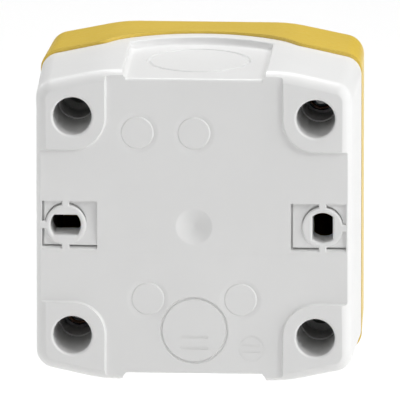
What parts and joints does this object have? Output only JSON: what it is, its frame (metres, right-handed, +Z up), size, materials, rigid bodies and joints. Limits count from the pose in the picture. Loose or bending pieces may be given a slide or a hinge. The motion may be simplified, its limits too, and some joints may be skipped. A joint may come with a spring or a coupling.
{
  "type": "pedestrian push button",
  "caption": "Square surface-mounting push-button station: grey base housing, yellow screwed cover, red palm button and an internal contact block.",
  "frame": {"origin": "centre of the wall face, midway between the two wall fixing slots, in the plane of the four corner pads", "axes": "+Y into the wall, the button faces -Y, +Z up, +X to the right seen from the front"},
  "size_m": [0.0678, 0.078, 0.0692],
  "materials": {
    "grey_shell": "fine-textured moulded polycarbonate",
    "yellow_shell": "satin moulded polycarbonate",
    "red_head": "glossy moulded plastic",
    "black_body": "matt moulded nylon",
    "seal_rubber": "matt nitrile rubber",
    "block_body": "matt glass-filled nylon",
    "plunger_white": "smooth acetal",
    "screw_steel": "zinc plated",
    "spring_steel": "drawn wire",
    "insert_brass": "knurled, slightly tarnished",
    "contact_brass": "stamped strip",
    "contact_copper": "stamped copper alloy with silver tips",
    "bezel_chrome": "polished"
  },
  "bodies": {
    "base": {"base_housing": "grey_shell", "screw_insert_upper": "insert_brass", "screw_insert_lower": "insert_brass", "block_housing": "block_body", "block_cover": "block_body", "plunger_spring": "spring_steel", "block_screw_left": "screw_steel", "block_screw_right": "screw_steel", "nc_upper_strip": "contact_brass", "nc_upper_clamp": "screw_steel", "nc_lower_strip": "contact_brass", "nc_lower_clamp": "screw_steel", "no_upper_strip": "contact_brass", "no_upper_clamp": "screw_steel", "no_lower_strip": "contact_brass", "no_lower_clamp": "screw_steel"},
    "cover": {"front_cover": "yellow_shell", "cover_gasket": "seal_rubber", "screw_seal_upper": "seal_rubber", "screw_seal_lower": "seal_rubber", "operator_body": "black_body", "bezel_ring": "bezel_chrome", "operator_seal": "seal_rubber", "fixing_nut": "screw_steel", "wiper_seal": "seal_rubber", "head_spring": "spring_steel"},
    "head": {"mushroom_head": "red_head", "head_stem": "black_body", "stem_clip": "spring_steel"},
    "cover_screw_upper": {"cover_screw_upper": "screw_steel"},
    "cover_screw_lower": {"cover_screw_lower": "screw_steel"},
    "plunger": {"contact_plunger": "plunger_white", "nc_bar_spring": "spring_steel", "no_bar_spring": "spring_steel"},
    "nc_bar": {"nc_bar": "contact_copper"},
    "no_bar": {"no_bar": "contact_copper"},
    "nc_upper_screw": {"nc_upper_terminal_screw": "screw_steel"},
    "nc_lower_screw": {"nc_lower_terminal_screw": "screw_steel"},
    "no_upper_screw": {"no_upper_terminal_screw": "screw_steel"},
    "no_lower_screw": {"no_lower_terminal_screw": "screw_steel"}
  },
  "joints": [
    {"name": "cover_removal", "type": "slide", "parent": "base", "child": "cover", "axis": [0, -1, 0], "range_m": [0, 0.045]},
    {"name": "head_press", "type": "slide", "parent": "cover", "child": "head", "axis": [0, 1, 0], "range_m": [0, 0.004], "stiffness_N_per_m": 1000, "springref_m": -0.005, "deforming": ["head_spring"]},
    {"name": "plunger_travel", "type": "slide", "parent": "base", "child": "plunger", "axis": [0, 1, 0], "range_m": [0, 0.004], "deforming": ["plunger_spring"]},
    {"name": "nc_bar_travel", "type": "slide", "parent": "base", "child": "nc_bar", "axis": [0, 1, 0], "range_m": [0, 0.0026], "deforming": ["nc_bar_spring"]},
    {"name": "no_bar_travel", "type": "slide", "parent": "base", "child": "no_bar", "axis": [0, 1, 0], "range_m": [0, 0.0027], "deforming": ["no_bar_spring"]},
    {"name": "cover_screw_upper_turn", "type": "hinge", "parent": "cover", "child": "cover_screw_upper", "pos_m": [-0.02556, -0.05, 0.02347], "axis": [0, -1, 0], "continuous": true},
    {"name": "cover_screw_lower_turn", "type": "hinge", "parent": "cover", "child": "cover_screw_lower", "pos_m": [0.02556, -0.05, -0.02347], "axis": [0, -1, 0], "continuous": true},
    {"name": "nc_upper_screw_turn", "type": "hinge", "parent": "base", "child": "nc_upper_screw", "pos_m": [0.0056, -0.022, 0.0155], "axis": [0, -1, 0], "continuous": true},
    {"name": "nc_lower_screw_turn", "type": "hinge", "parent": "base", "child": "nc_lower_screw", "pos_m": [0.0056, -0.022, -0.0155], "axis": [0, -1, 0], "continuous": true},
    {"name": "no_upper_screw_turn", "type": "hinge", "parent": "base", "child": "no_upper_screw", "pos_m": [-0.0056, -0.022, 0.0155], "axis": [0, -1, 0], "continuous": true},
    {"name": "no_lower_screw_turn", "type": "hinge", "parent": "base", "child": "no_lower_screw", "pos_m": [-0.0056, -0.022, -0.0155], "axis": [0, -1, 0], "continuous": true}
  ],
  "couplings": [
    {"joint": "plunger_travel", "follows": "head_press", "ratio": 1},
    {"joint": "nc_bar_travel", "follows": "head_press", "ratio": 0.65},
    {"joint": "no_bar_travel", "follows": "head_press", "ratio": 0.675}
  ]
}
